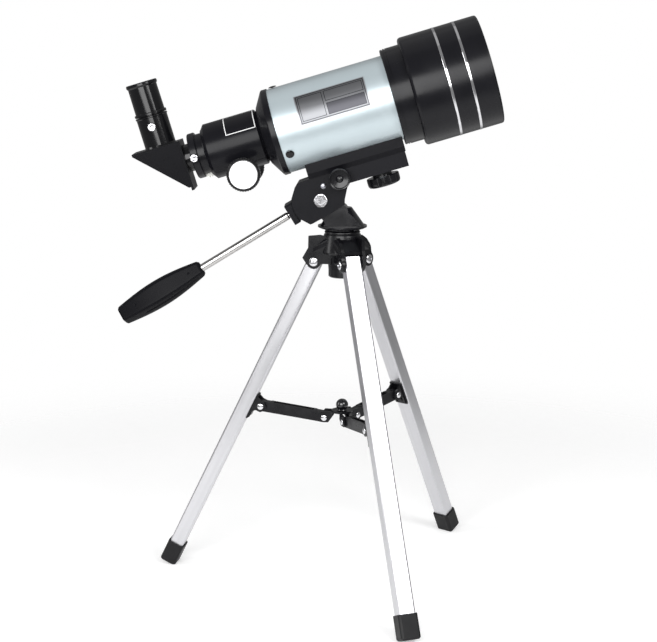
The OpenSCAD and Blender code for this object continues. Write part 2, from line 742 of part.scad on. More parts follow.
module handle_boss() {
    reach = bracket_hw - cheek_t - 0.1;
    color([0.05, 0.05, 0.055]) difference() {
        union() {
            difference() {
                along_handle() translate([0, 0, -boss_t / 2]) rotate([0, 0, 90])
                    rounded_box([2 * bracket_hw - 0.6, boss_h, boss_len], 1.6);
                tilting() rod_y(cheek_back_r + 0.2, 2 * bracket_w);
            }
            tilting() translate([-cheek_back_r - 2.7, -reach, boss_w - 8.2]) cube([10.5, 2 * reach, 14]);
        }
        along_handle() rod_hole();
    }
}

module rod_hole() {
    cylinder(r = thread_r + run_gap, h = 4 * boss_t, center = true, $fn = 48);
}

module handle_rod() {
    color([0.85, 0.85, 0.87]) along_handle() rotate_extrude($fn = 48) polygon([[0, -rod_depth],
        [thread_r, -rod_depth], [thread_r, rod_start + 2.6], [rod_r, rod_start + 4],
        [rod_r, grip_start + 12], [0, grip_start + 12]]);
}

// The grip swells from its collar to the middle and narrows again.
module handle_grip() {
    flat_hw = 10.4;
    mid_extra = grip_r - (grip_front_r + grip_rear_r) / 2;
    steps = 14;
    swell = [for (i = [0:steps]) let (s = i / steps)
        [grip_front_r + (grip_rear_r - grip_front_r) * s + mid_extra * sin(180 * s),
            grip_start + 1.5 + (grip_len - 3) * s]];
    color([0.03, 0.03, 0.035]) along_handle() difference() {
        rotate_extrude($fn = 72) polygon(concat([[rod_r, grip_start], [grip_front_r - 1, grip_start]], swell,
            [[grip_rear_r - 1, grip_end], [0, grip_end], [0, grip_start + 12], [rod_r, grip_start + 12]]));
        for (side = [-1, 1]) translate([-20, side * (flat_hw + 5) - 5, grip_start - 1])
            cube([40, 10, grip_len + 2]);
    }
}

// ---- pan base and tripod hub ----

module pan_base() {
    cone_r = 22;
    cone_top_r = 9;
    cone_top = 369.4;
    color([0.06, 0.06, 0.065]) stand() difference() {
        union() {
            turned([[hub_top + 0.4, 0], [hub_top + 0.4, 16.4], [hub_top + 1.4, 17.6],
                [pan_top - pan_t, 18], [pan_top - pan_t, pan_r - 2.5], [pan_top - 1.6, pan_r],
                [pan_top, pan_r], [pan_top, pan_r - 1], [pan_top - 0.8, pan_r - 3], [pan_top - 0.8, 0]]);
            intersection() {
                turned([[pan_top - 1, 0], [pan_top - 1, cone_r], [cone_top, cone_top_r], [cone_top, 0]]);
                translate([-30, -tongue_hw, pan_top - 2]) cube([60, 2 * tongue_hw, 40]);
            }
            rotate([90, 0, 0]) linear_extrude(2 * tongue_hw, center = true) hull() {
                translate([-pivot_back, pivot_h]) circle(r = 9.5, $fn = 48);
                translate([-14, pan_top - 1]) square([22, 2]);
                translate([2, cone_top - 1]) circle(r = 3, $fn = 24);
            }
            translate([0, 0, hub_top - 26]) cylinder(r = neck_bore_r, h = 28, $fn = 64);
        }
        translate([-pivot_back, 0, pivot_h]) rod_y(bolt_r + run_gap, 60);
    }
}

// Side view of a leg fork's plain ear, as [distance from the pan axis, height].
module ear_outline() {
    pr = leg_pivot_r;
    ph = leg_pivot_h;
    polygon([[9, hub_top - 6], [16.3, hub_top - 5], [pr - 3, hub_top - 9], [pr + 1.6, hub_top - 14.4],
        [pr + 3.4, ph + 12], [pr + 4, ph + 7], [pr + 6.4, ph + 2], [pr + 6.4, ph - 3],
        [pr - 5, ph - 2], [9, ph - 2]]);
    translate([pr, ph]) circle(r = ear_r, $fn = 48);
}

// Side view of the other ear, which stands up in a tab and reaches out past the leg.
module tab_outline() {
    pr = leg_pivot_r;
    ph = leg_pivot_h;
    polygon([[9, hub_top - 6], [pr - 6, hub_top - 3.6], [pr + 5, hub_top - 4.8], [pr + 5.3, ph + 13.4],
        [pr + 11, ph + 3.6], [pr + 6.6, ph - 3.2], [pr - 5, ph - 2], [9, ph - 2]]);
    translate([pr, ph]) circle(r = ear_r, $fn = 48);
}

module tripod_hub() {
    roof = leg_pivot_h + 9.7;
    hood_hw = fork_hw - 0.5;
    color([0.06, 0.06, 0.065]) stand() difference() {
        union() {
            turned([[hub_bottom, 0], [hub_bottom, 12], [hub_bottom + 1, column_r], [leg_pivot_h - 8, column_r],
                [roof - 2, 14.6], [roof - 2, 19], [roof, 20.6], [hub_top - 5, 18], [hub_top - 3.4, 17.6],
                [hub_top - 2.8, 16.8], [hub_top - 2, 16.8], [hub_top - 1.4, 17.2], [hub_top - 0.6, 17],
                [hub_top, 16.2], [hub_top, 0]]);
            for (k = [0:2]) rotate([0, 0, leg_angle[k]]) {
                translate([0, -fork_hw + ear_t / 2, 0]) rotate([90, 0, 0])
                    linear_extrude(ear_t, center = true) ear_outline();
                translate([0, fork_hw - ear_t / 2, 0]) rotate([90, 0, 0])
                    linear_extrude(ear_t, center = true) tab_outline();
                hull() {
                    translate([0, 0, hub_top - 7.2]) cylinder(r = 16.6, h = 2, $fn = 64);
                    translate([12, -hood_hw, roof - 1.5]) cube([leg_pivot_r - 9, 2 * hood_hw, 4]);
                }
            }
        }
        for (k = [0:2]) rotate([0, 0, leg_angle[k]]) {
            translate([leg_pivot_r - 9.8, -ear_in, 280]) cube([30, 2 * ear_in, roof - 280]);
            translate([leg_pivot_r, 0, leg_pivot_h]) rod_y(screw_r, 60);
        }
        translate([0, 0, hub_top - 26.4]) cylinder(r = neck_bore_r + run_gap, h = 30, $fn = 64);
    }
}

module leg_pivot_screws() {
    color([0.8, 0.8, 0.82]) for (k = [0:2]) beside_leg(k)
        translate([leg_pivot_r, 0, leg_pivot_h]) {
            rod_y(screw_r, 2 * fork_hw + 1);
            for (side = [-1, 1]) translate([0, side * fork_hw, 0]) rotate([-90 * side, 0, 0])
                difference() {
                    domed_head(4.4, 2.2);
                    for (a = [0, 90]) rotate(a) translate([-2.2, -0.4, 1.4]) cube([4.4, 0.8, 3]);
                }
        }
}

// ---- legs ----

module leg(k) {
    color([0.8, 0.81, 0.83]) at_leg(k) difference() {
        translate([0, 0, -leg_len + 2.4]) rounded_box([leg_d, leg_w, leg_len - 2.4 + leg_up], 1.6);
        translate([0, 0, -leg_len + 1.4])
            rounded_box([leg_d - 2 * leg_wall, leg_w - 2 * leg_wall, leg_len + leg_up], 0.8);
        rod_y(screw_r + run_gap, 2 * leg_w);
    }
}

module leg_front() {
    leg(0);
}

module leg_left() {
    leg(1);
}

module leg_right() {
    leg(2);
}

// A rubber cap with a rounded sole, cut off level where it stands on the floor.
module foot(k) {
    width = [leg_d + 2 * foot_wall, leg_w + 2 * foot_wall];
    edge = 1.6;
    color([0.03, 0.03, 0.03]) intersection() {
        at_leg(k) difference() {
            union() {
                translate([0, 0, -leg_len + edge]) rounded_box([width[0], width[1], foot_h - edge], 2.4);
                hull() {
                    translate([0, 0, -leg_len + edge]) rounded_box([width[0], width[1], 0.1], 2.4);
                    translate([0, 0, -leg_len]) rounded_box([width[0] - 2 * edge, width[1] - 2 * edge, 0.1], 1.2);
                }
            }
            translate([0, 0, -leg_len + 2.4]) rounded_box([leg_d, leg_w, foot_h], 1.6);
        }
        stand() translate([-300, -300, 0]) cube([600, 600, 100]);
    }
}

module foot_front() {
    foot(0);
}

module foot_left() {
    foot(1);
}

module foot_right() {
    foot(2);
}

// ---- spreader ----

// The outer rivet's frame on leg k, with the leg's own slope.
module at_rivet(k) {
    at_leg(k) translate([-rivet_in, 0, -rivet_down]) children();
}

module leg_bracket(k) {
    plate = 1.6;
    ear = arm_w / 2 + face_gap;
    wall = rivet_in - leg_d / 2;
    plate_up = 8.5;
    plate_down = 17;
    color([0.06, 0.06, 0.065]) at_rivet(k) difference() {
        union() {
            translate([wall - plate, -leg_w / 2 + 0.6, -plate_down])
                cube([plate, leg_w - 1.2, plate_down + plate_up]);
            for (side = [-1, 1]) translate([0, side * (ear + 1), 0]) rotate([90, 0, 0])
                linear_extrude(2, center = true) polygon([[-2, 5.4], [-5.4, 2], [-5.4, -2], [-2, -5.4],
                    [2.4, -5.4], [wall - 3, -7.6], [wall - 2.8, 2 - plate_down], [wall - 1.4, 0.5 - plate_down],
                    [wall, 0.5 - plate_down], [wall, plate_up - 0.5], [2, 5.4]]);
            translate([wall - plate - 1.3, 0, 5 - plate_down]) rotate([0, 90, 0])
                cylinder(r = 2.6, h = 1.6, $fn = 48);
        }
        rod_y(pin_r, 40);
    }
}

module bracket_front() {
    leg_bracket(0);
}

module bracket_left() {
    leg_bracket(1);
}

module bracket_right() {
    leg_bracket(2);
}

// The rivet through the bracket, and the one that holds the bracket to the leg.
module leg_rivets(k) {
    ear = arm_w / 2 + face_gap + 2;
    color([0.8, 0.8, 0.82]) at_rivet(k) {
        rod_y(pin_r, 2 * ear + 0.6);
        for (side = [-1, 1]) translate([0, side * ear, 0]) rotate([-90 * side, 0, 0]) domed_head(3.1, 1.5);
    }
}

module rivet_front() {
    leg_rivets(0);
}

module rivet_left() {
    leg_rivets(1);
}

module rivet_right() {
    leg_rivets(2);
}

// An arm's frame: origin at the outer rivet, X toward the pan axis along the arm.
module along_arm(k) {
    beside_leg(k) translate([rivet_r, 0, rivet_h]) mirror([1, 0, 0]) rotate([0, arm_slope, 0]) children();
}

// A channel, open below, with rounded ends and two shallow ribs on its upper face.
module spreader_arm(k) {
    wall = 1.4;
    tip_cut = 3.7;
    end_r = arm_h / 2 - 0.4;
    color([0.05, 0.05, 0.055]) along_arm(k) difference() {
        union() {
            rotate([90, 0, 0]) linear_extrude(arm_w, center = true) hull() {
                circle(r = end_r, $fn = 32);
                translate([arm_len, 0]) circle(r = end_r, $fn = 32);
            }
            translate([9, -arm_w / 2, end_r - 0.4]) cube([arm_len - 18, arm_w, 0.8]);
        }
        translate([9, -arm_w / 2 + wall, -arm_h]) cube([arm_len - 18, arm_w - 2 * wall, arm_h + 3]);
        translate([12, -arm_w / 2 + wall, 3]) cube([arm_len - 24, arm_w - 2 * wall, 5]);
        for (side = [-1, 1]) translate([arm_len + end_r, side * arm_w / 2, 0]) rotate([0, 0, 45])
            cube([tip_cut, tip_cut, 2 * arm_h], center = true);
        rod_y(pin_r + run_gap, 40);
    }
}

module arm_front() {
    spreader_arm(0);
}

module arm_left() {
    spreader_arm(1);
}

module arm_right() {
    spreader_arm(2);
}

// A top plate with three pairs of cheeks that guide the arms' inner ends.
module spreader_hub() {
    ear = arm_w / 2 + face_gap;
    plate_low = arm_h / 2 + 0.1;
    color([0.05, 0.05, 0.055]) {
        stand() translate([0, 0, hub_rivet_h + plate_low]) cylinder(r = 10.4, h = 2, $fn = 64);
        for (k = [0:2]) beside_leg(k) for (side = [-1, 1])
            translate([hub_rivet_r, side * (ear + 0.8), hub_rivet_h]) rotate([90, 0, 0])
                linear_extrude(1.6, center = true) polygon([[-8, plate_low + 1], [-8, 1], [-4, -4.4],
                    [3.4, -4.4], [4.8, -2], [4.8, 2], [1, plate_low + 1]]);
    }
}

// Rivet heads on the outer faces of the hub's cheeks.
module hub_rivets() {
    ear = arm_w / 2 + face_gap + 1.6;
    color([0.8, 0.8, 0.82]) for (k = [0:2]) beside_leg(k) for (side = [-1, 1])
        translate([hub_rivet_r, side * ear, hub_rivet_h]) rotate([-90 * side, 0, 0]) domed_head(2.9, 1.4);
}

module ball_knob() {
    base = hub_rivet_h + arm_h / 2 + 2.1;
    color([0.03, 0.03, 0.035]) stand() translate([0, 0, base]) {
        cylinder(r1 = 4.6, r2 = 3.2, h = 2.6, $fn = 48);
        difference() {
            translate([0, 0, ball_r * 0.86]) sphere(r = ball_r, $fn = 64);
            translate([0, 0, -ball_r]) cylinder(r = ball_r, h = ball_r, $fn = 48);
        }
    }
}

dew_shield();
trim_rings();
objective_cell();
crown_lens();
flint_lens();
lens_retainer();
main_tube();
label_plate();
rear_cell();
tube_screws();
focuser_housing();
drawtube();
focus_rack();
pinion_shaft();
focus_knob_near();
focus_knob_far();
knob_caps();
drawtube_screw();
diagonal_barrel();
diagonal_flange();
diagonal_body();
diagonal_mirror();
eyepiece_holder();
holder_screw();
eyepiece_body();
eyepiece_lenses();
saddle();
platform();
tilt_bracket();
clamp_knob();
lock_knob();
tilt_bolt();
tilt_nut();
stop_screws();
handle_boss();
handle_rod();
handle_grip();
pan_base();
tripod_hub();
leg_front();
leg_left();
leg_right();
leg_pivot_screws();
foot_front();
foot_left();
foot_right();
bracket_front();
bracket_left();
bracket_right();
rivet_front();
rivet_left();
rivet_right();
arm_front();
arm_left();
arm_right();
spreader_hub();
hub_rivets();
ball_knob();
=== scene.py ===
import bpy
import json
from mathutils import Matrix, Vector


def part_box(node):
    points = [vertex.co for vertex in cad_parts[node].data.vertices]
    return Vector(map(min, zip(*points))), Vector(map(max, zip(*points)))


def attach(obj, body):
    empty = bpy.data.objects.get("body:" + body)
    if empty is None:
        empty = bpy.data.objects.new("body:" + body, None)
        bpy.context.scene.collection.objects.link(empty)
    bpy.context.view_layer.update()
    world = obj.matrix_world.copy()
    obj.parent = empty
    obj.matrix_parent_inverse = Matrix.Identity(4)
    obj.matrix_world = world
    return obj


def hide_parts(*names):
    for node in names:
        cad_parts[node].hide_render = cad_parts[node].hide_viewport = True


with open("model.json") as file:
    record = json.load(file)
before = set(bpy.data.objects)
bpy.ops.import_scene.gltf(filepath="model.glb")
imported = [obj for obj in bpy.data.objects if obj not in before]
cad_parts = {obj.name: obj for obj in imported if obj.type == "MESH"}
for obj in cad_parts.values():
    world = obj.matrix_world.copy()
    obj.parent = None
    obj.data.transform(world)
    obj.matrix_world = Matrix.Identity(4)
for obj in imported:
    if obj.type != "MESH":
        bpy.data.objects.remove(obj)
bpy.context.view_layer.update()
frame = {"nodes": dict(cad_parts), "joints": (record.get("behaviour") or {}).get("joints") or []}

import json
import math

import bpy
import numpy as np
from mathutils import Matrix, Vector

# ---------------------------------------------------------------------------
# Tripod hub. The three-forked casting that the pan head stands on: black
# moulded plastic, satin on its flanks, with an apron over each leg's top.
# ---------------------------------------------------------------------------

joint = {j["name"]: j for j in frame["joints"]}
MM = 0.001


def grain_group():
    """Shader group for a moulded or worn surface: broad patches and fine specks of noise.
    Patch = noise at Scale, Speck = noise at 9 x Scale sharpened, Height = their weighted sum."""
    g = bpy.data.node_groups.new("moulding_grain", "ShaderNodeTree")
    g.interface.new_socket("Vector", in_out="INPUT", socket_type="NodeSocketVector")
    scale = g.interface.new_socket("Scale", in_out="INPUT", socket_type="NodeSocketFloat")
    scale.default_value = 60.0
    for out in ("Patch", "Speck", "Height"):
        g.interface.new_socket(out, in_out="OUTPUT", socket_type="NodeSocketFloat")
    n, link = g.nodes, g.links.new
    start, end = n.new("NodeGroupInput"), n.new("NodeGroupOutput")
    broad, fine = n.new("ShaderNodeTexNoise"), n.new("ShaderNodeTexNoise")
    broad.inputs["Detail"].default_value = 5.0
    fine.inputs["Detail"].default_value = 3.0
    times = n.new("ShaderNodeMath")
    times.operation = "MULTIPLY"
    times.inputs[1].default_value = 9.0
    link(start.outputs["Vector"], broad.inputs["Vector"])
    link(start.outputs["Vector"], fine.inputs["Vector"])
    link(start.outputs["Scale"], broad.inputs["Scale"])
    link(start.outputs["Scale"], times.inputs[0])
    link(times.outputs[0], fine.inputs["Scale"])
    sharp = n.new("ShaderNodeMapRange")
    sharp.inputs["From Min"].default_value = 0.62
    sharp.inputs["From Max"].default_value = 0.74
    link(fine.outputs["Fac"], sharp.inputs["Value"])
    total = n.new("ShaderNodeMath")
    total.operation = "MULTIPLY_ADD"
    total.inputs[1].default_value = 0.5
    link(broad.outputs["Fac"], total.inputs[0])
    link(fine.outputs["Fac"], total.inputs[2])
    link(broad.outputs["Fac"], end.inputs["Patch"])
    link(sharp.outputs[0], end.inputs["Speck"])
    link(total.outputs[0], end.inputs["Height"])
    return g


GRAIN = grain_group()


def finish(name, dark, light, rough, metallic=0.0, coat=0.0, scale=60.0, bump=0.0,
           turn=(0, 0, 0), stretch=(1, 1, 1), speck=0.0, coat_rough=0.05, specular=0.5):
    """A material whose colour runs from dark to light and whose roughness runs over rough,
    both by the grain group's broad patches; specks lighten it a little; turn and stretch
    lay the grain along a direction."""
    m = bpy.data.materials.new(name)
    m.use_nodes = True
    n, link = m.node_tree.nodes, m.node_tree.links.new
    shader = n["Principled BSDF"]
    place, lay, grain = n.new("ShaderNodeTexCoord"), n.new("ShaderNodeMapping"), n.new("ShaderNodeGroup")
    lay.vector_type = "TEXTURE"
    grain.node_tree = GRAIN
    grain.inputs["Scale"].default_value = scale
    lay.inputs["Rotation"].default_value = turn
    lay.inputs["Scale"].default_value = stretch
    link(place.outputs["Object"], lay.inputs["Vector"])
    link(lay.outputs["Vector"], grain.inputs["Vector"])
    tone = n.new("ShaderNodeMix")
    tone.name = "tone"
    tone.data_type = "RGBA"
    tone.inputs["A"].default_value = (*dark, 1)
    tone.inputs["B"].default_value = (*light, 1)
    link(grain.outputs["Patch"], tone.inputs["Factor"])
    colour = tone.outputs["Result"]
    if speck:
        dust = n.new("ShaderNodeMix")
        dust.data_type = "RGBA"
        dust.blend_type = "ADD"
        dust.inputs["B"].default_value = (speck, speck, speck, 1)
        link(grain.outputs["Speck"], dust.inputs["Factor"])
        link(colour, dust.inputs["A"])
        colour = dust.outputs["Result"]
    link(colour, shader.inputs["Base Color"])
    spread = n.new("ShaderNodeMapRange")
    spread.inputs["From Min"].default_value = 0.3
    spread.inputs["From Max"].default_value = 0.7
    spread.inputs["To Min"].default_value = rough[0]
    spread.inputs["To Max"].default_value = rough[1]
    link(grain.outputs["Patch"], spread.inputs["Value"])
    link(spread.outputs[0], shader.inputs["Roughness"])
    if bump:
        b = n.new("ShaderNodeBump")
        b.inputs["Strength"].default_value = bump
        b.inputs["Distance"].default_value = 0.0001
        link(grain.outputs["Height"], b.inputs["Height"])
        link(b.outputs["Normal"], shader.inputs["Normal"])
    shader.inputs["Metallic"].default_value = metallic
    shader.inputs["Coat Weight"].default_value = coat
    shader.inputs["Coat Roughness"].default_value = coat_rough
    shader.inputs["Specular IOR Level"].default_value = specular
    return m


def paint(material, *names):
    """Gives each named CAD node the material."""
    for name in names:
        data = frame["nodes"][name].data
        data.materials.clear()
        data.materials.append(material)


CASTING = finish("hub_casting_black", (0.0025, 0.0025, 0.0035), (0.006, 0.006, 0.0072), (0.22, 0.34),
                 scale=70, bump=0.10, speck=0.003, specular=0.28)
paint(CASTING, "tripod_hub")

# ---------------------------------------------------------------------------
# Leg pivot screws and the other plated fittings: turned steel, nickel plated,
# bright enough to show the room, with a faint haze from handling.
# ---------------------------------------------------------------------------

PLATED = finish("nickel_plate", (0.60, 0.60, 0.62), (0.80, 0.80, 0.82), (0.07, 0.16), metallic=1.0,
                scale=120, bump=0.03)
paint(PLATED, "leg_pivot_screws", "rivet_front", "rivet_left", "rivet_right", "hub_rivets", "tilt_bolt",
      "tilt_nut", "pinion_shaft", "trim_rings")
ZINC = finish("zinc_plate", (0.28, 0.28, 0.31), (0.42, 0.42, 0.46), (0.25, 0.38), metallic=1.0,
              scale=140, bump=0.05)
paint(ZINC, "stop_screws")
ROD_SLOPE = math.radians(31.4)
ROD = finish("drawn_rod_steel", (0.42, 0.41, 0.40), (0.62, 0.61, 0.60), (0.14, 0.26), metallic=1.0,
             scale=60, turn=(0, ROD_SLOPE, 0), stretch=(8, 1, 1), bump=0.04)
paint(ROD, "handle_rod")

# ---------------------------------------------------------------------------
# Legs: square aluminium tube, drawn, then satin brushed along its length, and
# riveted at the top into the hub's forks. Each has its own slope and bearing.
# ---------------------------------------------------------------------------

LEG_SPLAY = math.radians(26)

for side in ("front", "left", "right"):
    offset = Vector(joint["leg_fold_" + side]["pos_m"]) - Vector(joint["pan"]["pos_m"])
    bearing = math.atan2(offset.y, offset.x)
    satin = finish("satin_alloy_" + side, (0.54, 0.54, 0.56), (0.64, 0.64, 0.66), (0.28, 0.38),
                   metallic=1.0, scale=260, turn=(0, -LEG_SPLAY, bearing), stretch=(1, 1, 40),
                   bump=0.10)
    paint(satin, "leg_" + side)

# ---------------------------------------------------------------------------
# Feet, brackets, spreader arms, hub plate and ball: all moulded in black, the
# feet in rubber, the rest in a harder plastic with a slight shine.
# ---------------------------------------------------------------------------

RUBBER = finish("moulded_rubber", (0.004, 0.004, 0.0045), (0.009, 0.009, 0.010), (0.42, 0.56),
                scale=120, bump=0.25, specular=0.2)
paint(RUBBER, "foot_front", "foot_left", "foot_right")
NYLON_BLACK = finish("glazed_black_nylon", (0.003, 0.003, 0.004), (0.007, 0.007, 0.0085), (0.24, 0.38),
                     scale=110, bump=0.12, speck=0.003, specular=0.25)
paint(NYLON_BLACK, "bracket_front", "bracket_left", "bracket_right", "arm_front", "arm_left", "arm_right",
      "spreader_hub")
BALL = finish("polished_black_ball", (0.003, 0.003, 0.004), (0.006, 0.006, 0.007), (0.08, 0.14),
              coat=0.5, scale=60)
paint(BALL, "ball_knob")

# ---------------------------------------------------------------------------
# Pan base, tilt bracket and saddle: the moulded head that carries the tube. The
# bracket is matt, the platform bar is a bluer grey and the base has more shine.
# ---------------------------------------------------------------------------

HEAD = finish("head_black", (0.003, 0.003, 0.004), (0.006, 0.006, 0.008), (0.16, 0.26), scale=70,
              bump=0.06, specular=0.4)
paint(HEAD, "pan_base")
MATT = finish("bracket_black", (0.0035, 0.0035, 0.0048), (0.0075, 0.0075, 0.0095), (0.32, 0.44),
              scale=110, bump=0.08, speck=0.002, specular=0.1)
paint(MATT, "tilt_bracket", "handle_boss", "saddle")
DISHED = finish("lock_knob_black", (0.003, 0.003, 0.004), (0.007, 0.007, 0.0085), (0.18, 0.26),
                scale=110, bump=0.04, specular=0.4)
paint(DISHED, "lock_knob")
BAR = finish("platform_grey", (0.0045, 0.0045, 0.006), (0.0085, 0.0085, 0.011), (0.34, 0.46), scale=110,
             bump=0.08, specular=0.1)
paint(BAR, "platform")
FLUTED = finish("clamp_black", (0.003, 0.003, 0.004), (0.006, 0.006, 0.0075), (0.14, 0.22), scale=90,
                bump=0.04, specular=0.35)
paint(FLUTED, "clamp_knob")

# ---------------------------------------------------------------------------
# Optical tube: rolled aluminium in a pale blue silver enamel, in black gloss
# cells at both ends, with the deep dew shield pressed on at the front.
# ---------------------------------------------------------------------------

SILVER = finish("silver_blue_enamel", (0.47, 0.545, 0.575), (0.52, 0.595, 0.625), (0.32, 0.38),
                metallic=0.55, coat=0.3, scale=45, coat_rough=0.15)
paint(SILVER, "main_tube")
ENAMEL = finish("black_enamel", (0.0045, 0.0045, 0.006), (0.0085, 0.0085, 0.0105), (0.20, 0.28),
                scale=40, specular=0.2)
paint(ENAMEL, "dew_shield", "objective_cell", "rear_cell", "drawtube", "lens_retainer")
GLOSS = finish("gloss_black_plastic", (0.003, 0.003, 0.0035), (0.005, 0.005, 0.006), (0.10, 0.16),
               coat=0.08, scale=40, coat_rough=0.08, specular=0.3)
paint(GLOSS, "diagonal_barrel", "eyepiece_holder", "eyepiece_body", "tube_screws", "focus_knob_near",
      "focus_knob_far")
SHELL = finish("diagonal_shell_black", (0.0035, 0.0035, 0.0045), (0.006, 0.006, 0.0075), (0.26, 0.34),
               scale=110, specular=0.05)
paint(SHELL, "diagonal_body", "diagonal_flange")
NYLON = finish("rack_nylon", (0.55, 0.55, 0.52), (0.7, 0.7, 0.66), (0.4, 0.5), scale=90)
paint(NYLON, "focus_rack")
CAP = finish("bright_knob_cap", (0.88, 0.88, 0.89), (0.94, 0.94, 0.95), (0.10, 0.18), metallic=0.25,
             coat=0.6, scale=60)
paint(CAP, "knob_caps")
GLASS = finish("coated_glass", (0.80, 0.88, 0.95), (0.86, 0.92, 0.98), (0.01, 0.02), scale=30)
GLASS.node_tree.nodes["Principled BSDF"].inputs["Transmission Weight"].default_value = 1.0
paint(GLASS, "crown_lens", "flint_lens", "eyepiece_lenses")
SILVERED = finish("silvered_mirror", (0.86, 0.87, 0.88), (0.92, 0.93, 0.94), (0.02, 0.04), metallic=1.0,
                  scale=40)
paint(SILVERED, "diagonal_mirror")

# ---------------------------------------------------------------------------
# Printed frames: thin lines stamped on the focuser and on the tube's plate,
# which is brushed dark aluminium glued to the tube. Neither carries any words.
# ---------------------------------------------------------------------------

TILT = math.radians(16.4)
tilt_pivot = Vector(joint["tilt"]["pos_m"])
AXIS_RISE = 72.8 * MM


def tube_place_group():
    """Shader group that turns a point into the tube's own measure, in millimetres: Along is the
    distance ahead of the tilt pivot, Around is the angle in degrees above the horizontal on the
    near side, atan2(height, -y), and Out is the distance from the tube's axis."""
    g = bpy.data.node_groups.new("tube_place", "ShaderNodeTree")
    g.interface.new_socket("Vector", in_out="INPUT", socket_type="NodeSocketVector")
    for out in ("Along", "Around", "Out"):
        g.interface.new_socket(out, in_out="OUTPUT", socket_type="NodeSocketFloat")
    n, link = g.nodes, g.links.new
    start, end, lay, split = (n.new("NodeGroupInput"), n.new("NodeGroupOutput"), n.new("ShaderNodeMapping"),
                              n.new("ShaderNodeSeparateXYZ"))
    lay.vector_type = "TEXTURE"
    upward = Vector((-math.sin(TILT), 0, math.cos(TILT)))
    lay.inputs["Location"].default_value = tilt_pivot + AXIS_RISE * upward
    lay.inputs["Rotation"].default_value = (0, -TILT, 0)
    lay.inputs["Scale"].default_value = (MM, MM, MM)
    link(start.outputs["Vector"], lay.inputs["Vector"])
    link(lay.outputs["Vector"], split.inputs["Vector"])
    near, angle, degrees = [n.new("ShaderNodeMath") for i in range(3)]
    near.operation, near.inputs[1].default_value = "MULTIPLY", -1
    angle.operation = "ARCTAN2"
    degrees.operation = "DEGREES"
    link(split.outputs["Y"], near.inputs[0])
    link(split.outputs["Z"], angle.inputs[0])
    link(near.outputs[0], angle.inputs[1])
    link(angle.outputs[0], degrees.inputs[0])
    join = n.new("ShaderNodeCombineXYZ")
    link(split.outputs["Y"], join.inputs["Y"])
    link(split.outputs["Z"], join.inputs["Z"])
    length = n.new("ShaderNodeVectorMath")
    length.operation = "LENGTH"
    link(join.outputs[0], length.inputs[0])
    link(split.outputs["X"], end.inputs["Along"])
    link(degrees.outputs[0], end.inputs["Around"])
    link(length.outputs["Value"], end.inputs["Out"])
    return g


def printed_frame_group():
    """Shader group for a rectangle: Line is 1 where the larger of |along - its centre| - half its length
    and |around - its centre| - half its height (both in millimetres) is within Width / 2 of zero,
    and Inside is 1 where it is below zero."""
    g = bpy.data.node_groups.new("printed_frame", "ShaderNodeTree")
    for name in ("Along", "Around", "Along Low", "Along High", "Around Low", "Around High",
                 "Radius", "Width"):
        g.interface.new_socket(name, in_out="INPUT", socket_type="NodeSocketFloat")
    for out in ("Line", "Inside"):
        g.interface.new_socket(out, in_out="OUTPUT", socket_type="NodeSocketFloat")
    n, link = g.nodes, g.links.new
    start, end = n.new("NodeGroupInput"), n.new("NodeGroupOutput")

    def maths(operation, a, b=None):
        node = n.new("ShaderNodeMath")
        node.operation = operation
        for k, value in enumerate((a, b)):
            if value is None:
                continue
            if isinstance(value, (int, float)):
                node.inputs[k].default_value = value
            else:
                link(value, node.inputs[k])
        return node.outputs[0]

    arc = maths("MULTIPLY", start.outputs["Radius"], math.pi / 180)
    u0 = maths("SUBTRACT", start.outputs["Along Low"], start.outputs["Along"])
    u1 = maths("SUBTRACT", start.outputs["Along"], start.outputs["Along High"])
    v0 = maths("MULTIPLY", maths("SUBTRACT", start.outputs["Around Low"], start.outputs["Around"]), arc)
    v1 = maths("MULTIPLY", maths("SUBTRACT", start.outputs["Around"], start.outputs["Around High"]), arc)
    edge = maths("MAXIMUM", maths("MAXIMUM", u0, u1), maths("MAXIMUM", v0, v1))
    half = maths("MULTIPLY", start.outputs["Width"], 0.5)
    link(maths("LESS_THAN", maths("ABSOLUTE", edge), half), end.inputs["Line"])
    link(maths("LESS_THAN", edge, 0.0), end.inputs["Inside"])
    return g


TUBE_PLACE = tube_place_group()
PRINTED_FRAME = printed_frame_group()


def print_frames(material, radius, frames):
    """Lays printed rectangles over the material's colour. Each frame is its low and high distance
    along the tube, its low and high angle round it, its line width, its line's colour and, where the
    inside is inked too, that colour."""
    n, link = material.node_tree.nodes, material.node_tree.links.new
    shader = n["Principled BSDF"]
    place, tube = n.new("ShaderNodeTexCoord"), n.new("ShaderNodeGroup")
    tube.node_tree = TUBE_PLACE
    link(place.outputs["Object"], tube.inputs["Vector"])
    colour = shader.inputs["Base Color"].links[0].from_socket
    for low_u, high_u, low_a, high_a, width, line, fill in frames:
        box = n.new("ShaderNodeGroup")
        box.node_tree = PRINTED_FRAME
        for socket, value in (("Along Low", low_u), ("Along High", high_u), ("Around Low", low_a),
                              ("Around High", high_a), ("Radius", radius), ("Width", width)):
            box.inputs[socket].default_value = value
        link(tube.outputs["Along"], box.inputs["Along"])
        link(tube.outputs["Around"], box.inputs["Around"])
        for output, ink in (("Inside", fill), ("Line", line)):
            if ink is None:
                continue
            lay = n.new("ShaderNodeMix")
            lay.data_type = "RGBA"
            lay.inputs["B"].default_value = (*ink, 1)
            link(box.outputs[output], lay.inputs["Factor"])
            link(colour, lay.inputs["A"])
            colour = lay.outputs["Result"]
    link(colour, shader.inputs["Base Color"])


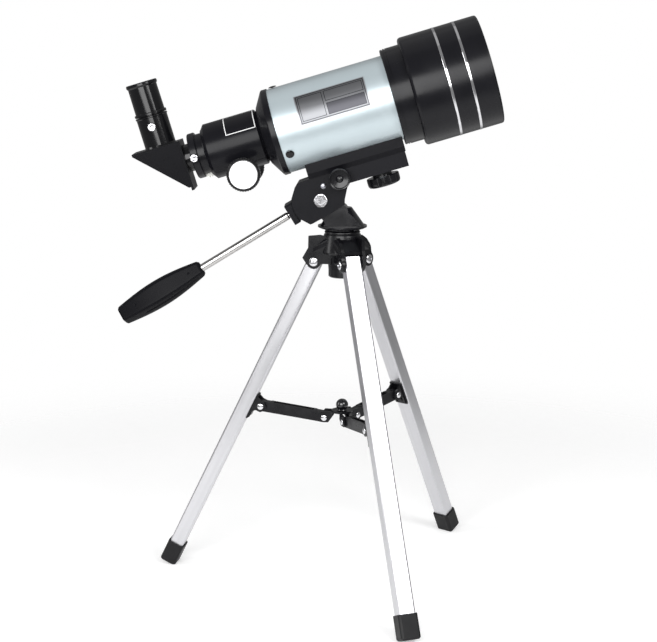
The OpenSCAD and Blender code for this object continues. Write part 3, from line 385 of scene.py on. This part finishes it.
HOUSING = finish("focuser_black_enamel", (0.0045, 0.0045, 0.006), (0.0085, 0.0085, 0.0105),
                 (0.20, 0.28), scale=40, specular=0.14)
HOUSING_R, PLATE_R = 26.4, 40.6
print_frames(HOUSING, HOUSING_R, [(-67, -38.6, 26, 84, 0.75, (0.75, 0.75, 0.75), None)])
paint(HOUSING, "focuser_housing")

PLATE = finish("label_alloy", (0.13, 0.132, 0.14), (0.20, 0.205, 0.215), (0.30, 0.42), metallic=0.8,
               scale=90, turn=(0, -TILT, 0), stretch=(14, 1, 1), bump=0.06)
INK, GREY_INK, BRIGHT = (0.012, 0.012, 0.015), (0.05, 0.05, 0.057), (0.34, 0.34, 0.36)
print_frames(PLATE, PLATE_R, [
    (3.3, 70.5, 1.5, 43.0, 1.3, BRIGHT, None),
    (5.0, 69.0, 3.6, 41.0, 0.55, INK, None),
    (6.6, 29.0, 6.2, 38.6, 0.5, INK, None),
    (31.4, 67.4, 24.5, 38.6, 0.5, INK, None),
    (31.4, 67.4, 6.2, 21.0, 0.4, INK, GREY_INK)])
paint(PLATE, "label_plate")

# ---------------------------------------------------------------------------
# Handle grip: one hard plastic moulding on the rod's end. It swells from both
# ends to its middle, with broad flats and bevels, a groove and a mould seam.
# ---------------------------------------------------------------------------

handle_pivot = Vector(joint["handle_twist"]["pos_m"])
handle_axis = Vector(joint["handle_twist"]["axis"]).normalized()


def new_piece(name, points, faces, material, body, replaced):
    """Puts a worked-out surface into the scene as a smooth piece that rides on a body and
    takes a CAD node's place."""
    mesh = bpy.data.meshes.new(name)
    mesh.from_pydata(points.reshape(-1, 3).tolist(), [], faces)
    mesh.validate()
    mesh.polygons.foreach_set("use_smooth", np.full(len(mesh.polygons), True))
    mesh.materials.append(material)
    piece = bpy.data.objects.new(name, mesh)
    bpy.context.scene.collection.objects.link(piece)
    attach(piece, body)
    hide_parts(replaced)


def sheet_faces(rows, columns):
    """The quads of a grid that closes round its columns, with a fan of one face at each end row."""
    i, j = np.meshgrid(np.arange(rows - 1), np.arange(columns), indexing="ij")
    k = (j + 1) % columns
    below, above = i * columns, (i + 1) * columns
    quads = np.stack([below + j, below + k, above + k, above + j], axis=-1)
    last = (rows - 1) * columns
    return quads.reshape(-1, 4).tolist() + [list(range(columns))[::-1], list(range(last, last + columns))]


def smooth_step(x, low, high):
    """0 below low, 1 above high and 3 t^2 - 2 t^3 between, with t the share of the way."""
    t = np.clip((x - low) / (high - low), 0, 1)
    return t * t * (3 - 2 * t)


GRIP_START, GRIP_LEN = 106.5 * MM, 91.0 * MM
GRIP_R, GRIP_FRONT_R, GRIP_REAR_R = 13.3 * MM, 7.7 * MM, 9.4 * MM


def grip_surface():
    """The grip: at share s of its length and angle a round it, the distance from the rod's axis is
    R(s) P(a) less a groove, two dimples and a seam. R runs evenly from the front radius to the rear
    one, plus a bulge times sin(pi s), and draws in at both rims. P is a six-sided outline: each side
    gives cos(a - its middle) / its depth, and P is 1 over the power mean of these, at most 1.02. The
    groove is a narrow slot along the lower bevel, the dimples are round hollows on the near flat, and
    the seam is a fine line along the top and the bottom."""
    s_line = np.concatenate([np.linspace(0, 0.03, 6)[:-1], np.linspace(0.03, 0.97, 150),
                             np.linspace(0.97, 1, 6)[1:]])
    s, a = np.meshgrid(s_line, np.linspace(0, 2 * np.pi, 288, endpoint=False), indexing="ij")
    bulge = GRIP_R - (GRIP_FRONT_R + GRIP_REAR_R) / 2
    swell = GRIP_FRONT_R + (GRIP_REAR_R - GRIP_FRONT_R) * s + bulge * np.sin(np.pi * s)
    rim = 1 - 0.16 * (1 - smooth_step(s, 0.0, 0.022)) - 0.12 * smooth_step(s, 0.985, 1.0)
    # top, near upper flat, near lower bevel, bottom, far upper flat, far lower bevel
    middles = np.radians([90, 18, -52, -90, 162, 232])
    depths = np.array([1.0, 0.80, 0.86, 1.0, 0.80, 0.86])
    power = 14
    lean = np.maximum(np.cos(a[..., None] - middles), 1e-3) / depths
    outline = (lean ** power).sum(axis=-1) ** (-1 / power)
    r = swell * rim * np.minimum(outline, 1.02)
    off = np.abs(np.angle(np.exp(1j * (a - np.radians(-50)))))
    slot_depth = 0.9 * MM * (1 - smooth_step(off * swell, 0.7 * MM, 1.3 * MM))
    slot_depth *= smooth_step(s, 0.10, 0.13) * (1 - smooth_step(s, 0.72, 0.76))
    r = r - slot_depth
    for at in (0.14, 0.80):
        gap = np.hypot((s - at) * GRIP_LEN, np.angle(np.exp(1j * (a - np.radians(24)))) * swell)
        r = r - 0.5 * MM * (1 - smooth_step(gap, 0.5 * MM, 1.1 * MM))
    seam = np.abs(np.angle(np.exp(1j * 2 * (a - np.pi / 2)))) * swell / 2
    r = r - 0.12 * MM * (1 - smooth_step(seam, 0.1 * MM, 0.35 * MM))
    along = GRIP_START + GRIP_LEN * s
    near = Vector((0, -1, 0))
    up = handle_axis.cross(near)
    core = np.array(handle_pivot) + along[..., None] * np.array(handle_axis)
    points = core + (r * np.cos(a))[..., None] * np.array(near) + (r * np.sin(a))[..., None] * np.array(up)
    return points, sheet_faces(*points.shape[:2])


GRIP = finish("grip_plastic", (0.003, 0.003, 0.004), (0.005, 0.005, 0.0065), (0.30, 0.36), scale=60,
              specular=0.06)
grip_points, grip_faces = grip_surface()
new_piece("moulded_grip", grip_points, grip_faces, GRIP, "handle", "handle_grip")

# ---------------------------------------------------------------------------
# Thumb screws on the drawtube's collar and the eyepiece holder: turned brass,
# nickel plated, with a knurled rim and a dished face.
# ---------------------------------------------------------------------------


def turned_screw(name, node, body, notches):
    """A head turned about the screw's axis. Each row of the outline gives a height, a radius r and
    a knurl depth d; at angle a the radius is r (1 - d (1 + cos(notches a)) / 2), with d above
    nothing only on the rim. The outline runs out along the shank, round the rim and into the dish."""
    low, high = np.array(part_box(node))
    middle = np.array([(low[0] + high[0]) / 2, 0, (low[2] + high[2]) / 2])
    out = high[1] - low[1]
    face_r = (high[2] - low[2]) / 2
    rows = np.array([
        (0.0, 0.0, 0), (0.0, 1.40 * MM, 0), (0.45 * out, 1.40 * MM, 0), (0.46 * out, 2.1 * MM, 0),
        (0.56 * out, 2.2 * MM, 0), (0.58 * out, face_r * 0.93, 0.0), (0.62 * out, face_r, 0.05),
        (0.66 * out, face_r, 0.07), (0.88 * out, face_r, 0.07), (0.93 * out, face_r * 0.985, 0.05),
        (0.975 * out, face_r * 0.93, 0.0), (1.0 * out, face_r * 0.84, 0.0), (1.0 * out, face_r * 0.72, 0.0),
        (0.97 * out, face_r * 0.66, 0.0), (0.88 * out, face_r * 0.56, 0.0),
        (0.84 * out, face_r * 0.40, 0.0), (0.84 * out, face_r * 0.12, 0.0)])
    a = np.linspace(0, 2 * np.pi, notches * 6, endpoint=False)
    knurl = 1 - rows[:, 2:3] * (0.5 + 0.5 * np.cos(notches * a))
    r = np.maximum(rows[:, 1:2], 0.02 * MM) * knurl
    y = high[1] - np.repeat(rows[:, 0:1], len(a), axis=1)
    points = np.stack([middle[0] + r * np.cos(a), y, middle[2] + r * np.sin(a)], axis=-1)
    faces = sheet_faces(*points.shape[:2])
    new_piece(name, points, faces, PLATED, body, node)


NOTCHES = 28
turned_screw("collar_thumb_screw", "drawtube_screw", "tube_thumb_screw", NOTCHES)
turned_screw("eyepiece_thumb_screw", "holder_screw", "holder_thumb_screw", NOTCHES)

# ---------------------------------------------------------------------------
# Studio: a pale floor card that fades out into a white room, four soft boxes
# and the camera, all placed from the pan axis.
# ---------------------------------------------------------------------------

pan_axis = Vector(joint["pan"]["pos_m"])


def floor_card(inner, outer):
    """Pale matt card whose opacity falls from whole at radius inner to nothing at radius outer
    round the pan axis, with a faint mottle in its white."""
    m = bpy.data.materials.new("pale_floor_card")
    m.use_nodes = True
    n, link = m.node_tree.nodes, m.node_tree.links.new
    shader = n["Principled BSDF"]
    place, lay = n.new("ShaderNodeTexCoord"), n.new("ShaderNodeMapping")
    mottle = n.new("ShaderNodeTexNoise")
    lay.inputs["Location"].default_value = (-pan_axis.x, -pan_axis.y, 0)
    span, fade, tone = n.new("ShaderNodeVectorMath"), n.new("ShaderNodeMapRange"), n.new("ShaderNodeMix")
    span.operation = "LENGTH"
    fade.interpolation_type = "SMOOTHERSTEP"
    fade.inputs["From Min"].default_value = outer
    fade.inputs["From Max"].default_value = inner
    tone.data_type = "RGBA"
    tone.inputs["A"].default_value = (0.90, 0.90, 0.90, 1)
    tone.inputs["B"].default_value = (0.93, 0.93, 0.93, 1)
    link(place.outputs["Object"], lay.inputs["Vector"])
    link(lay.outputs["Vector"], span.inputs[0])
    link(span.outputs["Value"], fade.inputs["Value"])
    link(fade.outputs["Result"], shader.inputs["Alpha"])
    link(place.outputs["Object"], mottle.inputs["Vector"])
    link(mottle.outputs["Fac"], tone.inputs["Factor"])
    link(tone.outputs["Result"], shader.inputs["Base Color"])
    shader.inputs["Roughness"].default_value = 0.9
    shader.inputs["Emission Color"].default_value = (1, 1, 1, 1)
    shader.inputs["Emission Strength"].default_value = 0.30
    return m


def floor_disc(radius, rings, spokes):
    """A flat disc under the feet: x and y are r cos a and r sin a over a grid of r and a."""
    r = np.linspace(0.002, radius, rings)[:, None]
    a = np.linspace(0, 2 * np.pi, spokes, endpoint=False)[None, :]
    points = np.stack([pan_axis.x + r * np.cos(a), pan_axis.y + r * np.sin(a),
                       np.full((rings, spokes), -0.0006)], axis=-1).reshape(-1, 3)
    i, j = np.meshgrid(np.arange(rings - 1), np.arange(spokes), indexing="ij")
    k = (j + 1) % spokes
    quads = np.stack([i * spokes + j, (i + 1) * spokes + j, (i + 1) * spokes + k, i * spokes + k], axis=-1)
    faces = quads.reshape(-1, 4).tolist() + [list(range(spokes))]
    mesh = bpy.data.meshes.new("studio_floor")
    mesh.from_pydata(points.tolist(), [], faces)
    floor = bpy.data.objects.new("studio_floor", mesh)
    bpy.context.scene.collection.objects.link(floor)
    mesh.materials.append(floor_card(0.35, 0.95))


floor_disc(1.2, 12, 64)

CAMERA_DISTANCE, CAMERA_HEIGHT = 1.4261, 0.5471
CAMERA_YAW, CAMERA_PITCH = math.radians(-0.536), math.radians(11.449)
FRAME_WIDTHS = 2.2831
cam = bpy.data.objects.new("camera", bpy.data.cameras.new("camera"))
bpy.context.scene.collection.objects.link(cam)
cam.data.sensor_width = 36.0
cam.data.lens = cam.data.sensor_width * FRAME_WIDTHS
cam.location = (pan_axis.x, pan_axis.y - CAMERA_DISTANCE, CAMERA_HEIGHT)
look = Vector((math.sin(CAMERA_YAW) * math.cos(CAMERA_PITCH),
               math.cos(CAMERA_YAW) * math.cos(CAMERA_PITCH), -math.sin(CAMERA_PITCH)))
cam.rotation_mode = "QUATERNION"
cam.rotation_quaternion = look.to_track_quat("-Z", "Y")
cam.data.clip_start = 0.01
cam.data.clip_end = 50
bpy.context.scene.camera = cam


def soft_box(name, place, aim, size, watts, tint=(1, 1, 1)):
    """A rectangular area light at place, turned to face aim."""
    data = bpy.data.lights.new(name, "AREA")
    data.shape = "RECTANGLE"
    data.size, data.size_y = size
    data.energy = watts
    data.color = tint
    lamp = bpy.data.objects.new(name, data)
    bpy.context.scene.collection.objects.link(lamp)
    lamp.location = place
    lamp.rotation_mode = "QUATERNION"
    lamp.rotation_quaternion = (Vector(aim) - Vector(place)).to_track_quat("-Z", "Y")
    return lamp


centre = Vector((0, 0, 0.35))
soft_box("front_light", (-0.45, -1.85, 0.86), Vector((0, 0, 0.42)), (1.6, 1.25), 42)
soft_box("right_light", (1.15, -1.40, 1.30), Vector((0.05, 0, 0.25)), (0.9, 0.9), 20)
soft_box("left_light", (-1.8, -0.3, 0.8), centre, (0.5, 1.3), 10)
soft_box("top_light", (0.0, 0.5, 2.0), Vector((0, 0, 0)), (2.2, 1.4), 2)

world = bpy.data.worlds.new("studio_world")
bpy.context.scene.world = world
world.use_nodes = True
wn, wl = world.node_tree.nodes, world.node_tree.links.new
sky = wn["Background"]
sky.inputs["Color"].default_value = (1, 1, 1, 1)
path = wn.new("ShaderNodeLightPath")
level = wn.new("ShaderNodeMix")
level.data_type = "FLOAT"
level.inputs["A"].default_value = 0.28
level.inputs["B"].default_value = 1.0
wl(path.outputs["Is Camera Ray"], level.inputs["Factor"])
wl(level.outputs["Result"], sky.inputs["Strength"])
bpy.context.scene.view_settings.view_transform = "Standard"

bpy.context.view_layer.update()
